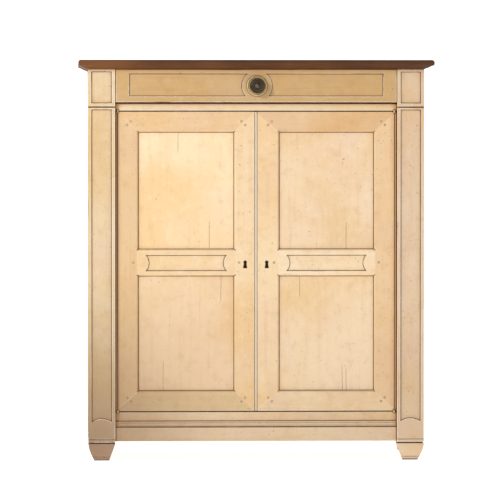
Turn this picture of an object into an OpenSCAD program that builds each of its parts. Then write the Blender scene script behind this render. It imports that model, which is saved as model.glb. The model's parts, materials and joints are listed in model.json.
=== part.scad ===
// Low two-door armoire with one full-width drawer.
// X runs across the front, -Y is the front and +Z is up.
// The origin lies on the floor under the middle of the top board.

/* [Overall] */
// Height from the floor to the top surface
total_h = 1323; // [1100:1:1600]
// Width of the top board
top_w = 1174; // [1000:1:1420]
// Depth of the top board, front to back
top_d = 550; // [460:1:670]

/* [Top board] */
// Thickness of the top board
top_t = 30; // [26:1:40]
// How far the top stands out past the front posts, at the front and at the sides
overhang = 32; // [24:1:44]
// Height of the rounded nose above the cove
nose_h = 17; // [12:1:20]

/* [Posts and feet] */
// Width of a front post
post_w = 89; // [74:1:107]
// Depth of a front post
post_d = 70; // [60:1:84]
// Width of a rear post
rear_post_w = 60; // [50:1:72]
// Depth of a rear post
rear_post_d = 45; // [40:1:54]
// Plain margin beside the sunk field of a front post
post_margin = 11; // [8:1:15]
// Depth of the sunk fields of the posts
post_sink = 4; // [2:0.5:6]
// Height of a foot
foot_h = 61; // [50:1:75]
// How far a front foot narrows on each side
foot_taper = 20; // [12:1:24]
// How far a rear foot narrows on each side
rear_foot_taper = 10; // [6:1:14]

/* [Carcass] */
// How far the doors and front rails lie behind the faces of the posts
setback = 16; // [10:1:20]
// Depth of the front rails
rail_d = 40; // [36:1:48]
// Height of the rail between the drawer and the doors
header_h = 23; // [18:1:28]
// Height of the bottom front rail
bottom_rail_h = 96; // [80:1:115]
// Height of the moulded plinth board
plinth_h = 66; // [52:1:76]
// How far the plinth board stands out from the bottom rail
plinth_t = 8; // [6:0.5:10]
// Thickness of the side rails
side_t = 24; // [20:1:28]
// Height of the top and middle side rails
side_rail_h = 60; // [50:1:72]
// How far the side rails lie inside the outer faces of the posts
side_inset = 4; // [2:0.5:6]
// Thickness of the panels in the sides
side_panel_t = 9; // [7:0.5:12]
// Thickness of the back rails
back_rail_t = 22; // [16:1:26]
// Thickness of the back boards
back_board_t = 12; // [10:1:15]
// Number of back boards
back_boards_n = 7; // [5:1:9]
// Thickness of the floor board and the shelves
shelf_t = 18; // [15:1:22]
// Height of a shelf cleat
cleat_h = 25; // [20:1:30]
// Length of the tenons on the carcass rails
tenon_l = 20; // [16:1:24]
// Thickness of the tenons on the carcass rails
tenon_t = 10; // [8:1:12]

/* [Doors] */
// Thickness of the door frames
door_t = 24; // [20:1:29]
// Gap between a door and its post, and between the two doors
door_gap = 2.5; // [2:0.1:3]
// Distance of the meeting line to the left of the middle
meeting_offset = 4.25; // [0:0.25:8]
// Width of the hinge stiles
hinge_stile_w = 73.5; // [62:0.5:88]
// Width of the left door's lock stile
left_lock_stile_w = 67; // [64:0.5:80]
// Width of the right door's lock stile, with its bead
right_lock_stile_w = 78.5; // [66:0.5:92]
// Height of the top and bottom rails of the doors
door_rail_h = 66.5; // [57:0.5:80]
// Height of the middle rails of the doors
mid_rail_h = 87; // [74:1:104]
// Height of the middle rails' centre above the bottom of the doors
mid_rail_rise = 491; // [420:1:575]
// Thickness of the door panels
panel_t = 8; // [6:0.5:10]
// How far the panels lie behind the face of the door frame
panel_sink = 8; // [6:0.5:9]
// Width of the chamfer round the openings of the doors
chamfer = 4.5; // [2:0.5:6]
// Depth of the grooves that hold the panels
groove_d = 8; // [6:0.5:10]
// Depth of the sunk fields of the middle rails and the drawer front
field_sink = 3; // [2:0.5:4]
// Length of the tenons on the door rails
door_tenon_l = 26; // [20:1:28]
// Diameter of the pegs
peg_d = 8; // [6:0.5:10]
// Width of the bead along the edges of the doors
bead_w = 4.5; // [3.5:0.5:6]
// Width and depth of the quirk beside a bead
quirk = 2.5; // [1.5:0.5:3]

/* [Drawer] */
// Height of the drawer front
drawer_front_h = 107; // [95:1:125]
// Thickness of the drawer front
drawer_front_t = 20; // [16:1:24]
// Gap between the drawer front and the top board
drawer_gap_top = 2; // [1.5:0.5:4]
// Gap between the drawer front and the header rail
drawer_gap_bottom = 5; // [3:0.5:6]
// Depth of the drawer box behind its front
drawer_l = 400; // [300:1:440]
// Thickness of the drawer sides and back
drawer_side_t = 12; // [10:1:15]
// Height of the drawer sides
drawer_side_h = 84; // [70:1:88]
// Thickness of the drawer bottom
drawer_bottom_t = 6; // [4:0.5:8]
// Distance of the drawer's fields from its ends
drawer_field_margin = 44; // [30:1:60]
// Distance of the drawer's fields from its top and bottom edges
drawer_field_edge = 16; // [12:1:22]
// Radius of the rounded bites that the fields leave round the knob
bite_r = 49.5; // [44:0.5:56]

/* [Knob] */
// Radius of the rosette behind the knob
rosette_r = 34; // [28:0.5:38]
// Radius of the knob
knob_r = 26; // [22:0.5:30]
// How far the knob stands out from the drawer front
knob_l = 31; // [26:0.5:34]
// Distance of the knob to the right of the middle
knob_offset = 2; // [0:0.5:6]
// Radius of the bolt that holds the knob
bolt_r = 2.5; // [2:0.25:3.5]

/* [Hinges] */
// Gap above and below the doors, filled by the hinge washers
hinge_gap = 3.5; // [3:0.25:5]
// Distance of the hinge pins from the inner sides of the posts
hinge_in = 8.5; // [8:0.5:10]
// Radius of the hinge pins
hinge_pin_r = 2; // [1.5:0.1:2.4]
// Radial clearance of the hinge pins
pin_play = 0.05; // [0.02:0.01:0.1]
// Thickness of a hinge plate
plate_t = 3; // [2.5:0.1:4]
// Width of a hinge plate, and the diameter of its nose
plate_w = 8; // [7:0.5:10]
// Length of a hinge plate along the door
plate_l = 52; // [40:1:60]

/* [Locks] */
// Width of a lock case
case_w = 56; // [50:1:60]
// Height of a lock case
case_h = 82; // [70:1:100]
// Depth of a lock case
case_d = 15; // [14:0.5:18]
// Wall of a lock case
case_wall = 2; // [1.5:0.25:2.5]
// Distance of each keyhole from its door's edge, or from the bead there
keyhole_in = 31; // [28:0.5:34]
// Width of a keyhole at its foot
keyhole_w = 14; // [10:0.5:15]
// Height of a keyhole
keyhole_h = 26; // [20:1:30]
// Height of the lock bolt
lock_bolt_h = 16; // [12:1:20]
// Thickness of the lock bolt
lock_bolt_t = 5; // [4:0.5:6]
// Travel of the lock bolt and the rods
throw = 12; // [10:0.5:14]
// Radius of the rods of the left door
rod_r = 4; // [3:0.25:4.5]

/* [Hidden] */
// Clearance of a tenon, peg or panel in its mortise, hole or groove
fit = 0.2;
// Clearance of parts that slide past each other
slide_gap = 0.4;
// Extra length of a cut past the face it starts from
over = 1;
// Radius and length of the dowels between the feet and the posts
dowel_r = 8;
dowel_l = 30;
$fn = 48;

// Heights
post_top = total_h - top_t;
drawer_z1 = post_top - drawer_gap_top;
drawer_z0 = drawer_z1 - drawer_front_h;
header_z1 = drawer_z0 - drawer_gap_bottom;
header_z0 = header_z1 - header_h;
door_z1 = header_z0 - hinge_gap;
plinth_z0 = foot_h + 3;
rail_z1 = plinth_z0 + bottom_rail_h;
door_z0 = rail_z1 + hinge_gap;
mid_z = door_z0 + mid_rail_rise;
keyhole_z = mid_z - 6;

// Places across the front
half_w = top_w / 2 - overhang;
post_in = half_w - post_w;
rear_in = half_w - rear_post_w;
door_edge = post_in - door_gap;
hinge_x = post_in - hinge_in;
side_x1 = half_w - side_inset;
side_x0 = side_x1 - side_t;
side_mid = (side_x0 + side_x1) / 2;
left_door_w = door_edge - meeting_offset - door_gap / 2;
right_door_w = door_edge + meeting_offset - door_gap / 2;

// Places from front to back
front_y = overhang - top_d / 2;
back_y = top_d / 2;
door_y = front_y + setback;
door_back = door_y + door_t;
rail_y1 = door_y + rail_d;
rail_mid = (door_y + rail_y1) / 2 + 2;
post_back = front_y + post_d;
rear_y = back_y - rear_post_d;
back_rail_y = rear_y + 3;
boards_y = back_rail_y + back_rail_t;
inner_back = back_rail_y - 1;

// Drawer box
box_half = post_in - 4;
box_z0 = header_z1 + 3;
box_y0 = front_y + drawer_front_t;
box_y1 = box_y0 + drawer_l;
knob_z = (drawer_z0 + drawer_z1) / 2;

// Shelves
lower_shelf_z = door_z0 + (door_z1 - door_z0) * 0.33;
upper_shelf_z = door_z0 + (door_z1 - door_z0) * 0.67;
shelf_y0 = post_back + 8;

// Gap between a lock case and the door's edge, and height of the bolt above the keyhole
case_in = 3;
slot_rise = 24;

// Rods of the left door and the blocks that guide them
rod_y = door_back + case_d / 2;
case_x0 = -meeting_offset - door_gap / 2 - case_w - case_in;
rod_x = case_x0 + 15;
rod_inner_end = 20;
guide_w = 20;
guide_h = 12;

// Colours
cream = [0.93, 0.83, 0.68];
cherry = [0.42, 0.27, 0.18];
inside_wood = [0.72, 0.55, 0.36];
bronze = [0.13, 0.11, 0.10];
brass = [0.62, 0.47, 0.25];
iron = [0.30, 0.28, 0.26];

// ---- Helpers ----

// A box between two limits along each axis
module span(x, y, z) {
    translate([x[0], y[0], z[0]])
        cube([x[1] - x[0], y[1] - y[0], z[1] - z[0]]);
}

// An outline in X and Z, made solid from y0 to y1
module across(y0, y1) {
    translate([0, y1, 0])
        rotate([90, 0, 0])
            linear_extrude(y1 - y0)
                children();
}

// An outline in Y and Z, made solid from x0 to x1
module along(x0, x1) {
    translate([x0, 0, 0])
        rotate([90, 0, 90])
            linear_extrude(x1 - x0)
                children();
}

// An outline in X and Y, made solid from z0 to z1
module upward(z0, z1) {
    translate([0, 0, z0])
        linear_extrude(z1 - z0)
            children();
}

// A round rod along Y
module rod_along_y(x, z, r, y0, y1) {
    translate([x, y1, z])
        rotate([90, 0, 0])
            cylinder(h = y1 - y0, r = r);
}

// A round rod along Z
module rod_along_z(x, y, r, z0, z1) {
    translate([x, y, z0])
        cylinder(h = z1 - z0, r = r);
}

// The same shape on both sides of the middle
module both_sides() {
    children();
    mirror([1, 0, 0])
        children();
}

// Radius of an arc that rises by rise over a width, a little flat so that it meets the sides
function bite_radius(width, rise) = 1.06 * (pow(width / 2, 2) + pow(rise, 2)) / (2 * rise);

// Points of an arc about c from angle a to angle b
function on_circle(c, r, angle) = c + r * [cos(angle), sin(angle)];
function arc(c, r, a, b, n = 6) = [for (i = [0:n]) on_circle(c, r, a + (b - a) * i / n)];

// ---- Top board ----

// The moulded edge from the underside up to the top face, for a board that reaches out to half
function edge_points(half) = let(
    cove_h = top_t - nose_h - 3,
    foot = half - overhang,
    low_r = nose_h * 0.35,
    high_r = nose_h * 0.5
) concat(
    [[foot, post_top]],
    [for (i = [0:6]) [
        foot + 2 + (overhang - low_r - 3) * i / 6,
        post_top + 1 + cove_h * pow(i / 6, 1.25)
    ]],
    arc([half - low_r, post_top + 1 + cove_h + low_r], low_r, -90, 0),
    arc([half - high_r, total_h - high_r], high_r, 0, 90)
);

// Points mirrored to the other side, in the opposite order
function mirrored(points) = [for (i = [len(points) - 1:-1:0]) [-points[i][0], points[i][1]]];

module top_board() {
    half_w_points = edge_points(top_w / 2);
    front_points = mirrored(edge_points(back_y));
    color(cherry)
        intersection() {
            across(-back_y, back_y)
                polygon(concat(half_w_points, mirrored(half_w_points)));
            along(-top_w / 2, top_w / 2)
                polygon(concat([[back_y, post_top], [back_y, total_h]], front_points));
        }
}

// ---- Posts and feet ----

// How far the rail behind the drawer's front hangs below the drawer's top edge
top_rail_drop = 20;

module rail_tenon(z0, z1, y_mid, gap) {
    shoulder = min(8, (z1 - z0) / 5);
    span([post_in - over, post_in + tenon_l + gap],
        [y_mid - tenon_t / 2 - gap, y_mid + tenon_t / 2 + gap],
        [z0 + shoulder - gap, z1 - shoulder + gap]);
}

// Tenons at both ends of the side rails
module side_tenons(z0, z1, gap) {
    shoulder = min(8, (z1 - z0) / 5);
    span([side_mid - tenon_t / 2 - gap, side_mid + tenon_t / 2 + gap],
        [post_back - tenon_l - gap, rear_y + tenon_l + gap],
        [z0 + shoulder - gap, z1 - shoulder + gap]);
}

module side_panel_solid(z0, z1, gap) {
    x0 = side_mid - side_panel_t / 2;
    span([x0 - gap, x0 + side_panel_t + gap],
        [post_back - groove_d + 1 - gap, rear_y + groove_d - 1 + gap],
        [z0 - groove_d + 1 - gap, z1 + groove_d - 1 + gap]);
}

side_rail_zs = [
    [plinth_z0, rail_z1],
    [mid_z - side_rail_h / 2, mid_z + side_rail_h / 2],
    [post_top - side_rail_h, post_top]
];

module side_cuts(gap) {
    for (zs = side_rail_zs)
        side_tenons(zs[0], zs[1], gap);
    for (i = [0, 1])
        side_panel_solid(side_rail_zs[i][1], side_rail_zs[i + 1][0], gap);
}

// Hole for the dowel that holds a foot
module dowel_hole(x, y) {
    rod_along_z(x, y, dowel_r + fit / 2, foot_h - over, foot_h + dowel_l + 1);
}

// Distance of a rear foot's dowel from the back face, clear of the rails' tenons
rear_dowel_in = rear_post_d - tenon_l - dowel_r - 2;

// Height of the band between the two fields of a front post, level with the header rail
band_z0 = header_z0 + 4;
band_z1 = header_z1 + 1;

module front_post() {
    x0 = post_in + post_margin;
    x1 = half_w - post_margin;
    arch_rise = 12;
    arch_r = bite_radius(x1 - x0, arch_rise);
    field_z0 = rail_z1 - 33;
    groove_z = band_z0 + 5;
    bead_z = foot_h + 8;
    difference() {
        span([post_in, half_w], [front_y, post_back], [foot_h, post_top]);
        // Lower field with its arched foot
        across(front_y - over, front_y + post_sink)
            difference() {
                translate([x0, field_z0])
                    square([x1 - x0, band_z0 - field_z0]);
                translate([(x0 + x1) / 2, field_z0 + arch_rise - arch_r])
                    circle(r = arch_r, $fn = 96);
            }
        // Upper field
        across(front_y - over, front_y + post_sink)
            translate([x0, band_z1])
                square([x1 - x0, post_top - 8 - band_z1]);
        // Groove across the band, and the quirk above the bead at the foot
        span([post_in - over, half_w + over], [front_y - over, front_y + 3], [groove_z, groove_z + 5]);
        span([post_in - over, half_w + over], [front_y - over, front_y + 1.5], [bead_z, bead_z + 2]);
        // Mortises of the front rails
        rail_tenon(header_z0, header_z1, rail_mid, fit);
        rail_tenon(plinth_z0, rail_z1, rail_mid, fit);
        rail_tenon(drawer_z1 - top_rail_drop, post_top, rail_mid, fit);
        side_cuts(fit);
        dowel_hole(half_w - post_w / 2, front_y + post_d / 2);
    }
}

module back_rail_tenon(z0, z1, gap) {
    y_mid = back_rail_y + back_rail_t / 2;
    span([rear_in - over, rear_in + tenon_l + gap],
        [y_mid - tenon_t / 2 - gap, y_mid + tenon_t / 2 + gap],
        [z0 + 8 - gap, z1 - 8 + gap]);
}

back_rail_h = 70;
back_rail_zs = [[plinth_z0, plinth_z0 + back_rail_h], [post_top - back_rail_h, post_top]];

module rear_post() {
    difference() {
        span([rear_in, half_w], [rear_y, back_y], [foot_h, post_top]);
        side_cuts(fit);
        for (zs = back_rail_zs)
            back_rail_tenon(zs[0], zs[1], fit);
        dowel_hole(half_w - rear_post_w / 2, back_y - rear_dowel_in);
    }
}

// Inset of a foot's curved side at the share t of its height
function foot_curve(taper, t) = taper * pow(1 - t, 1.6);

// A foot from u = 0, its curved side, to u = w, its straight side
module foot_profile(w, h, taper) {
    n = 8;
    polygon(concat(
        [for (i = [0:n]) [foot_curve(taper, i / n), h * i / n]],
        [[w, h], [w - taper, 0]]
    ));
}

// A foot for a post of size w by d, whose outer corner is at the origin; its dowel stands at v = dowel_in
module foot(w, d, taper, dowel_in) {
    neck_h = 5;
    body_h = foot_h - neck_h;
    scribe_z = 11;
    scribe = foot_curve(taper, scribe_z / body_h) + 1;
    difference() {
        union() {
            intersection() {
                across(0, d)
                    foot_profile(w, body_h, taper);
                along(0, w)
                    foot_profile(d, body_h, taper);
            }
            span([4, w - 4], [4, d - 4], [body_h - over, foot_h]);
            rod_along_z(w / 2, dowel_in, dowel_r, foot_h - over, foot_h + dowel_l);
        }
        // Scribed line above the toe
        upward(scribe_z, scribe_z + 1.5)
            difference() {
                square([w, d]);
                translate([scribe, scribe])
                    square([w - 2 * scribe, d - 2 * scribe]);
            }
    }
}

module right_front_foot_solid() {
    translate([half_w, front_y, 0])
        mirror([1, 0, 0])
            foot(post_w, post_d, foot_taper, post_d / 2);
}

module right_rear_foot_solid() {
    translate([half_w, back_y, 0])
        mirror([1, 0, 0])
            mirror([0, 1, 0])
                foot(rear_post_w, rear_post_d, rear_foot_taper, rear_dowel_in);
}

module right_front_post() { color(cream) front_post(); }
module left_front_post() { color(cream) mirror([1, 0, 0]) front_post(); }
module right_rear_post() { color(cream) rear_post(); }
module left_rear_post() { color(cream) mirror([1, 0, 0]) rear_post(); }
module right_front_foot() { color(cream) right_front_foot_solid(); }
module left_front_foot() { color(cream) mirror([1, 0, 0]) right_front_foot_solid(); }
module right_rear_foot() { color(cream) right_rear_foot_solid(); }
module left_rear_foot() { color(cream) mirror([1, 0, 0]) right_rear_foot_solid(); }

// ---- Sides ----

module side_rails() {
    difference() {
        union() {
            for (zs = side_rail_zs)
                span([side_x0, side_x1], [post_back, rear_y], zs);
            for (zs = side_rail_zs)
                side_tenons(zs[0], zs[1], 0);
        }
        for (i = [0, 1])
            side_panel_solid(side_rail_zs[i][1], side_rail_zs[i + 1][0], fit);
    }
}

module side_panels() {
    for (i = [0, 1])
        side_panel_solid(side_rail_zs[i][1], side_rail_zs[i + 1][0], 0);
}

module right_side_rails() { color(cream) side_rails(); }
module left_side_rails() { color(cream) mirror([1, 0, 0]) side_rails(); }
module right_side_panels() { color(cream) side_panels(); }
module left_side_panels() { color(cream) mirror([1, 0, 0]) side_panels(); }

// ---- Front rails and plinth ----

module rod_hole(z0, z1) {
    rod_along_z(rod_x, rod_y, rod_r + slide_gap, z0, z1);
}

module header_rail() {
    color(cream)
        difference() {
            union() {
                span([-post_in, post_in], [door_y, rail_y1], [header_z0, header_z1]);
                both_sides()
                    rail_tenon(header_z0, header_z1, rail_mid, 0);
            }
            both_sides()
                plate_space(header_z0, 1);
            rod_hole(header_z0 - over, header_z0 + throw + 2);
        }
}

module top_front_rail() {
    z0 = drawer_z1 - top_rail_drop;
    color(inside_wood)
        union() {
            span([-post_in, post_in], [box_y0 + 1, rail_y1], [z0, post_top]);
            both_sides()
                rail_tenon(z0, post_top, rail_mid, 0);
        }
}

module bottom_front_rail() {
    color(cream)
        difference() {
            union() {
                span([-post_in, post_in], [door_y, rail_y1], [plinth_z0, rail_z1]);
                both_sides()
                    rail_tenon(plinth_z0, rail_z1, rail_mid, 0);
            }
            both_sides()
                plate_space(rail_z1, -1);
            rod_hole(rail_z1 - throw - 2, rail_z1 + over);
        }
}

// Board with a quirk and a cove along its top edge
module plinth_board() {
    fascia_z = plinth_z0 + plinth_h - 21;
    top_z = plinth_z0 + plinth_h;
    color(cream)
        along(-post_in, post_in)
            polygon(concat(
                [[door_y, plinth_z0], [door_y - plinth_t, plinth_z0], [door_y - plinth_t, fascia_z]],
                [[door_y - plinth_t + 3, fascia_z + 1], [door_y - plinth_t + 3, fascia_z + 4]],
                [[door_y - plinth_t + 1, fascia_z + 5]],
                [for (i = [0:5]) [door_y - plinth_t + 1 + 3.5 * sin(i * 18), top_z - 5 - 10 * cos(i * 18)]],
                [[door_y - plinth_t + 3, top_z - 4], [door_y - plinth_t + 3, top_z - 2], [door_y - 2, top_z]],
                [[door_y, top_z]]
            ));
}

// ---- Back ----

module back_rails() {
    color(inside_wood)
        union() {
            for (zs = back_rail_zs)
                span([-rear_in, rear_in], [back_rail_y, back_rail_y + back_rail_t], zs);
            for (zs = back_rail_zs)
                both_sides()
                    back_rail_tenon(zs[0], zs[1], 0);
        }
}

// Vertical boards whose edges overlap in half laps
module back_boards() {
    lap = 8;
    seam = 1;
    half_t = back_board_t / 2;
    width = 2 * rear_in - 2;
    pitch = (width - lap) / back_boards_n;
    lip = pitch + lap - seam;
    color(inside_wood)
        for (i = [0:back_boards_n - 1])
            translate([-width / 2 + i * pitch, boards_y, 0])
                upward(plinth_z0, post_top)
                    polygon([
                        [0, 0], [pitch - seam, 0], [pitch - seam, half_t], [lip, half_t],
                        [lip, back_board_t], [lap, back_board_t], [lap, half_t - fit], [0, half_t - fit]
                    ]);
}

// ---- Inside ----

module floor_board() {
    cut_z = [rail_z1 - shelf_t - over, rail_z1 + over];
    color(inside_wood)
        difference() {
            span([-side_x0 + 1, side_x0 - 1], [rail_y1, inner_back], [rail_z1 - shelf_t, rail_z1]);
            both_sides()
                span([post_in - 1, half_w], [rail_y1 - over, post_back + 1], cut_z);
            both_sides()
                span([rear_in - 1, half_w], [rear_y - 1, back_y], cut_z);
        }
}

module shelf(z) {
    color(inside_wood)
        span([-side_x0 + 1, side_x0 - 1], [shelf_y0, rear_y - 1], [z, z + shelf_t]);
}

module upper_shelf() { shelf(upper_shelf_z); }
module lower_shelf() { shelf(lower_shelf_z); }

// Cleats between the posts that carry the floor board and the shelves
module shelf_cleats() {
    color(inside_wood)
        for (z = [rail_z1 - shelf_t, lower_shelf_z, upper_shelf_z])
            both_sides()
                span([side_x0 - cleat_h, side_x0], [post_back, rear_y], [z - cleat_h, z]);
}

module door_stops() {
    stop_y = [door_back + 0.5, door_back + 12.5];
    stop_x = [150, 190];
    stop_h = 22;
    color(inside_wood)
        both_sides() {
            span(stop_x, stop_y, [header_z0 - stop_h, header_z0]);
            span(stop_x, stop_y, [rail_z1, rail_z1 + stop_h]);
        }
}

// Width of a bearer, height of a guide above it, and thickness of the panel below the drawer
bearer_w = 34;
drawer_guide_h = 30;
dust_panel_t = 8;

// A bearer and a guide on each side of the drawer
module drawer_runners() {
    bearer_z = box_z0 - slide_gap;
    guide_x = box_half + 1;
    color(inside_wood)
        both_sides()
            union() {
                span([post_in - bearer_w - 2, post_in - 2], [rail_y1, inner_back], [header_z0, bearer_z]);
                span([guide_x, side_x0], [post_back, rear_y], [header_z0, bearer_z]);
                span([guide_x, side_x0], [post_back, rear_y], [bearer_z - 1, bearer_z + drawer_guide_h]);
            }
}

module dust_panel() {
    half = post_in - bearer_w - 3;
    z0 = header_z0 + 4;
    color(inside_wood)
        span([-half, half], [rail_y1, inner_back], [z0, z0 + dust_panel_t]);
}

// ---- Hinges ----

// The outline of a hinge plate: a nose on the pin's axis, then an arm along the door
module plate_outline(grow) {
    arm_y = door_y + door_t / 2;
    r = plate_w / 2 + grow;
    translate([hinge_x, door_y])
        circle(r = r);
    translate([hinge_x - r, door_y])
        square([2 * r, arm_y - door_y + r]);
    translate([hinge_x - plate_l, arm_y - r])
        square([plate_l, 2 * r]);
}

// Room for a plate let into the wood at height z, upwards or downwards
module plate_space(z, up) {
    z_low = up > 0 ? z - over : z - plate_t;
    upward(z_low, z_low + plate_t + over)
        plate_outline(fit);
}

// Plates, washers and pins that belong to the carcass
module frame_hinge_plates() {
    pin_l = plate_t + hinge_gap - 0.3;
    washer_h = hinge_gap - 0.3;
    washer_r = plate_w / 2 - 0.5;
    color(iron)
        both_sides() {
            union() {
                upward(header_z0, header_z0 + plate_t)
                    plate_outline(0);
                rod_along_z(hinge_x, door_y, washer_r, header_z0 - washer_h, header_z0 + 0.5);
                rod_along_z(hinge_x, door_y, hinge_pin_r, header_z0 - pin_l, header_z0 + 0.5);
            }
            union() {
                upward(rail_z1 - plate_t, rail_z1)
                    plate_outline(0);
                rod_along_z(hinge_x, door_y, washer_r, rail_z1 - 0.5, rail_z1 + washer_h);
                rod_along_z(hinge_x, door_y, hinge_pin_r, rail_z1 - 0.5, rail_z1 + pin_l);
            }
        }
}

// The two plates of a door, drawn on the right
module door_plates() {
    for (z = [door_z0, door_z1 - plate_t])
        difference() {
            upward(z, z + plate_t)
                plate_outline(0);
            rod_along_z(hinge_x, door_y, hinge_pin_r + pin_play, z - over, z + plate_t + over);
        }
}

module right_hinge_plates() { color(iron) door_plates(); }
module left_hinge_plates() { color(iron) mirror([1, 0, 0]) door_plates(); }

// ---- Doors, drawn on the right: w is the door's width, lock_w its lock stile's ----

function lock_x(w) = door_edge - w;
function open_x0(w, lock_w) = door_edge - w + lock_w;
open_x1 = door_edge - hinge_stile_w;
open_top = door_z1 - door_rail_h;
open_bottom = door_z0 + door_rail_h;
mid_z0 = mid_z - mid_rail_h / 2;
mid_z1 = mid_z + mid_rail_h / 2;
panel_y = door_y + panel_sink;

// Places of the two pegs at a corner, measured outwards from the corner of the opening
corner_pegs = [[24, 35], [36, 23]];
mid_peg_in = 16;

function peg_points(w, lock_w) = concat(
    [for (p = corner_pegs) [open_x1 + p[0], open_top + p[1]]],
    [for (p = corner_pegs) [open_x1 + p[0], open_bottom - p[1]]],
    [for (p = corner_pegs) [open_x0(w, lock_w) - p[0], open_top + p[1]]],
    [for (p = corner_pegs) [open_x0(w, lock_w) - p[0], open_bottom - p[1]]],
    [[open_x1 + mid_peg_in, mid_z], [open_x0(w, lock_w) - mid_peg_in, mid_z]]
);

module pegs(w, lock_w, grow, extra) {
    for (p = peg_points(w, lock_w))
        rod_along_y(p[0], p[1], peg_d / 2 + grow, door_y - extra, door_back + extra);
}

module panel_solid(w, lock_w, z0, z1, gap) {
    span([open_x0(w, lock_w) - groove_d + 1 - gap, open_x1 + groove_d - 1 + gap],
        [panel_y - gap, panel_y + panel_t + gap],
        [z0 - groove_d + 1 - gap, z1 + groove_d - 1 + gap]);
}

// Thickness of the door tenons, their inset from the door's edges and from the rails' edges
door_tenon_t = 8;
tenon_in = 18;
tenon_shoulder = 12;

// Tenons of the top and bottom rails, which run past the mitres into the stiles
module corner_tenons(w, lock_w, gap) {
    y_mid = (door_y + door_back) / 2;
    top_zs = [open_top + tenon_shoulder, door_z1 - tenon_in - 2];
    bottom_zs = [door_z0 + tenon_in + 2, open_bottom - tenon_shoulder];
    for (zs = [top_zs, bottom_zs])
        span([lock_x(w) + tenon_in - gap, door_edge - tenon_in + gap],
            [y_mid - door_tenon_t / 2 - gap, y_mid + door_tenon_t / 2 + gap],
            [zs[0] - gap, zs[1] + gap]);
}

module mid_tenons(w, lock_w, gap) {
    y_mid = (door_y + door_back) / 2;
    span([open_x0(w, lock_w) - door_tenon_l - gap, open_x1 + door_tenon_l + gap],
        [y_mid - door_tenon_t / 2 - gap, y_mid + door_tenon_t / 2 + gap],
        [mid_z0 + tenon_shoulder - gap, mid_z1 - tenon_shoulder + gap]);
}

// Shoulders of the middle rail, which reach over the chamfers of the stiles
module mid_shoulders(w, lock_w, gap) {
    span([open_x0(w, lock_w) - chamfer - gap, open_x1 + chamfer + gap],
        [door_y - over * gap, door_back + over * gap], [mid_z0, mid_z1]);
}

// A 45 degree cut along the corner at (0, 0), into the solid on the side u < 0, v > 0
module corner_cut() {
    polygon([[-chamfer - over, -over], [0, chamfer], [over, chamfer], [over, -over]]);
}

// Chamfers of the upright edges of the openings, for the stiles
module stile_chamfers(w, lock_w) {
    for (zs = [[open_bottom - 2 * chamfer, mid_z0], [mid_z1, open_top + 2 * chamfer]])
        upward(zs[0], zs[1]) {
            translate([open_x0(w, lock_w), door_y])
                corner_cut();
            translate([open_x1, door_y])
                mirror([1, 0])
                    corner_cut();
        }
}

// Chamfer of a level edge at height z; side is 1 when the wood lies above it
module rail_chamfer(w, lock_w, z, side) {
    along(lock_x(w) - over, door_edge + over)
        translate([door_y, z])
            mirror([0, side > 0 ? 0 : 1])
                polygon([[-over, chamfer + over], [chamfer, 0], [chamfer, -over], [-over, -over]]);
}

// Quirk beside the bead along an upright edge; side is 1 when the bead lies to its right
module quirk_cut(x, side) {
    x0 = side > 0 ? x - bead_w - quirk : x + bead_w;
    span([x0, x0 + quirk], [door_y - over, door_y + quirk], [door_z0 - over, door_z1 + over]);
}

// What is cut out of every piece of a door frame
module frame_cuts(w, lock_w, lock_bead) {
    pegs(w, lock_w, fit / 2, over);
    quirk_cut(door_edge, 1);
    if (lock_bead)
        quirk_cut(lock_x(w), -1);
    plate_space(door_z0, 1);
    plate_space(door_z1, -1);
    panel_solid(w, lock_w, mid_z1, open_top, fit);
    panel_solid(w, lock_w, open_bottom, mid_z0, fit);
}

module keyhole_outline(x) {
    r = keyhole_w * 0.42;
    z_low = keyhole_z - keyhole_h / 2;
    translate([x, z_low + keyhole_h - r])
        circle(r = r);
    polygon([
        [x - keyhole_w / 2, z_low], [x + keyhole_w / 2, z_low],
        [x + r * 0.7, z_low + keyhole_h - r], [x - r * 0.7, z_low + keyhole_h - r]
    ]);
}

function keyhole_x(w, lock_bead) = lock_x(w) + keyhole_in + (lock_bead ? bead_w + quirk : 0);

module hinge_stile(w, lock_w, lock_bead) {
    color(cream)
        difference() {
            across(door_y, door_back)
                polygon([
                    [door_edge, door_z0], [open_x1, open_bottom], [open_x1, open_top], [door_edge, door_z1]
                ]);
            corner_tenons(w, lock_w, fit);
            mid_tenons(w, lock_w, fit);
            mid_shoulders(w, lock_w, fit / 2);
            stile_chamfers(w, lock_w);
            frame_cuts(w, lock_w, lock_bead);
        }
}

module lock_stile(w, lock_w, lock_bead) {
    color(cream)
        difference() {
            across(door_y, door_back)
                polygon([
                    [lock_x(w), door_z0], [open_x0(w, lock_w), open_bottom],
                    [open_x0(w, lock_w), open_top], [lock_x(w), door_z1]
                ]);
            corner_tenons(w, lock_w, fit);
            mid_tenons(w, lock_w, fit);
            mid_shoulders(w, lock_w, fit / 2);
            stile_chamfers(w, lock_w);
            frame_cuts(w, lock_w, lock_bead);
            across(door_y - over, door_back + over)
                keyhole_outline(keyhole_x(w, lock_bead));
        }
}

// The top rail when z_out is the top of the door, the bottom rail when it is the bottom
module end_rail(w, lock_w, lock_bead, z_out, z_in) {
    color(cream)
        difference() {
            union() {
                across(door_y, door_back)
                    polygon([
                        [lock_x(w), z_out], [door_edge, z_out],
                        [open_x1, z_in], [open_x0(w, lock_w), z_in]
                    ]);
                intersection() {
                    corner_tenons(w, lock_w, 0);
                    span([-half_w, half_w], [door_y, door_back], [min(z_out, z_in), max(z_out, z_in)]);
                }
            }
            rail_chamfer(w, lock_w, z_in, sign(z_out - z_in));
            frame_cuts(w, lock_w, lock_bead);
        }
}

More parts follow.
